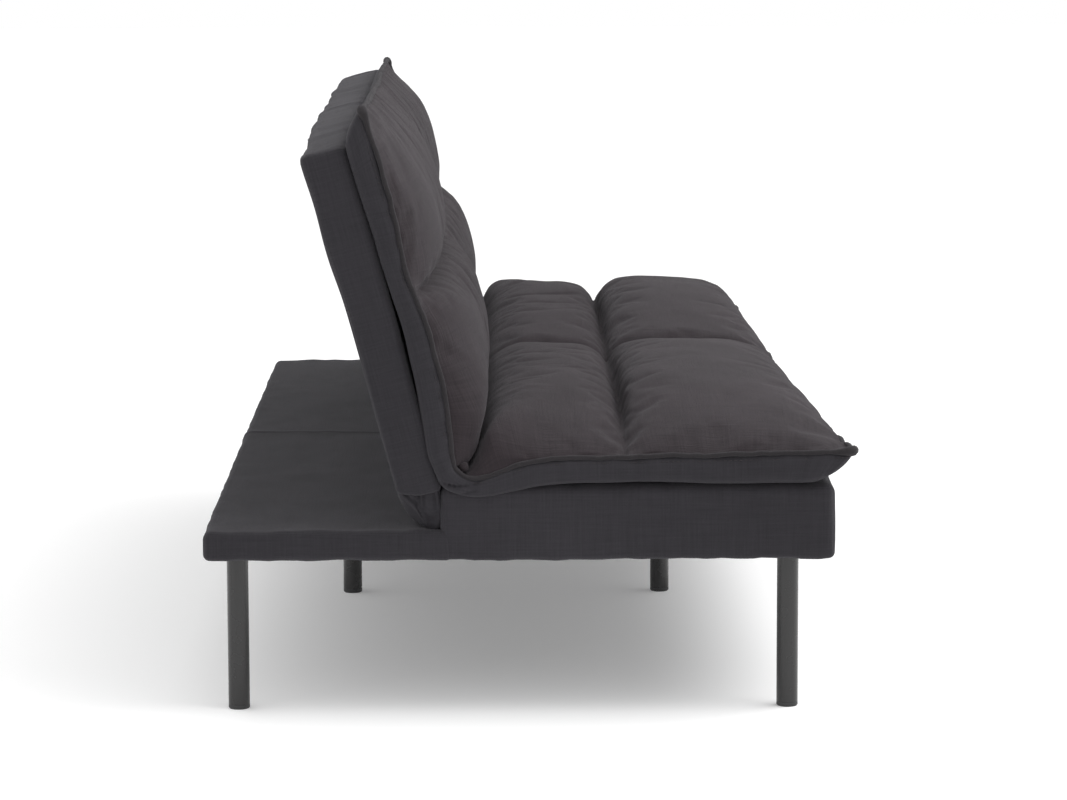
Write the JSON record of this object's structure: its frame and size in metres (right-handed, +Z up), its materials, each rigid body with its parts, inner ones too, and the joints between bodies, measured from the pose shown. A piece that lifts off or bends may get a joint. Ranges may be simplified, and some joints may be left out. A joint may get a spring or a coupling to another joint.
{
  "type": "futon sofa bed",
  "caption": "Armless charcoal fabric sofa bed with a tufted mattress over a padded seat box and folding back, on slim black tube legs.",
  "frame": {"origin": "on the floor under the middle of the sofa's footprint, back upright", "axes": "+X along the sofa's length, -Y the way the sofa faces, +Z up"},
  "size_m": [1.846, 0.905, 0.8459],
  "materials": {
    "charcoal_weave": "matte woven",
    "dust_cloth": "matte non-woven",
    "foam": "open-cell foam",
    "leg_paint": "satin black powder coat",
    "zinc_steel": "zinc plated",
    "spring_steel": "oiled spring wire",
    "black_plastic": "moulded matte black",
    "pine": "planed, unfinished"
  },
  "bodies": {
    "base": {"base_front_rail": "pine", "base_left_rail": "pine", "base_middle_bearer": "pine", "base_rear_rail": "pine", "base_right_rail": "pine", "deck_board": "pine", "deck_cover": "charcoal_weave", "deck_foam": "foam", "detent_pins": "zinc_steel", "detent_springs": "spring_steel", "dust_cover": "dust_cloth", "hinge_bracket_left": "zinc_steel", "hinge_bracket_right": "zinc_steel", "hinge_gap_cloth": "charcoal_weave", "hinge_pins": "zinc_steel", "hinge_seat_screws": "zinc_steel", "hinge_washers": "zinc_steel", "leg_front_left": "leg_paint", "leg_front_middle": "leg_paint", "leg_front_right": "leg_paint", "leg_glides": "black_plastic", "leg_insert_nuts": "zinc_steel", "leg_rear_left": "leg_paint", "leg_rear_middle": "leg_paint", "leg_rear_right": "leg_paint", "leg_studs": "zinc_steel", "leg_top_plates": "leg_paint", "seat_corner_braces": "pine", "seat_cover": "charcoal_weave", "seat_foam": "foam", "seat_front_rail": "pine", "seat_left_rail": "pine", "seat_middle_rail": "pine", "seat_pad": "charcoal_weave", "seat_rear_rail": "pine", "seat_right_rail": "pine", "seat_spring_clips": "black_plastic", "seat_springs": "spring_steel"},
    "back": {"back_cover": "charcoal_weave", "back_foam": "foam", "back_pad": "charcoal_weave", "back_left_stile": "pine", "back_right_stile": "pine", "back_bottom_rail": "pine", "back_top_rail": "pine", "back_middle_stile": "pine", "back_board": "pine", "back_springs": "spring_steel", "back_spring_clips": "black_plastic", "hinge_arm_left": "zinc_steel", "hinge_arm_right": "zinc_steel", "hinge_cam_left": "zinc_steel", "hinge_cam_right": "zinc_steel", "hinge_back_screws": "zinc_steel"},
    "detent_left": {"detent_arm_left": "zinc_steel", "detent_roller_left": "zinc_steel"},
    "detent_right": {"detent_arm_right": "zinc_steel", "detent_roller_right": "zinc_steel"}
  },
  "joints": [
    {"name": "back_recline", "type": "hinge", "parent": "base", "child": "back", "pos_m": [0, 0.1455, 0.29], "axis": [-1, 0, 0], "range_deg": [-6, 75]},
    {"name": "detent_left_swing", "type": "hinge", "parent": "base", "child": "detent_left", "pos_m": [0, 0.09687, 0.28538], "axis": [-1, 0, 0], "range_deg": [-1, 8]},
    {"name": "detent_right_swing", "type": "hinge", "parent": "base", "child": "detent_right", "pos_m": [0, 0.09687, 0.28538], "axis": [-1, 0, 0], "range_deg": [-1, 8]}
  ],
  "couplings": [
    {"joint": "detent_left_swing", "follows": "back_recline", "ratio": 0.1},
    {"joint": "detent_right_swing", "follows": "back_recline", "ratio": 0.1}
  ]
}
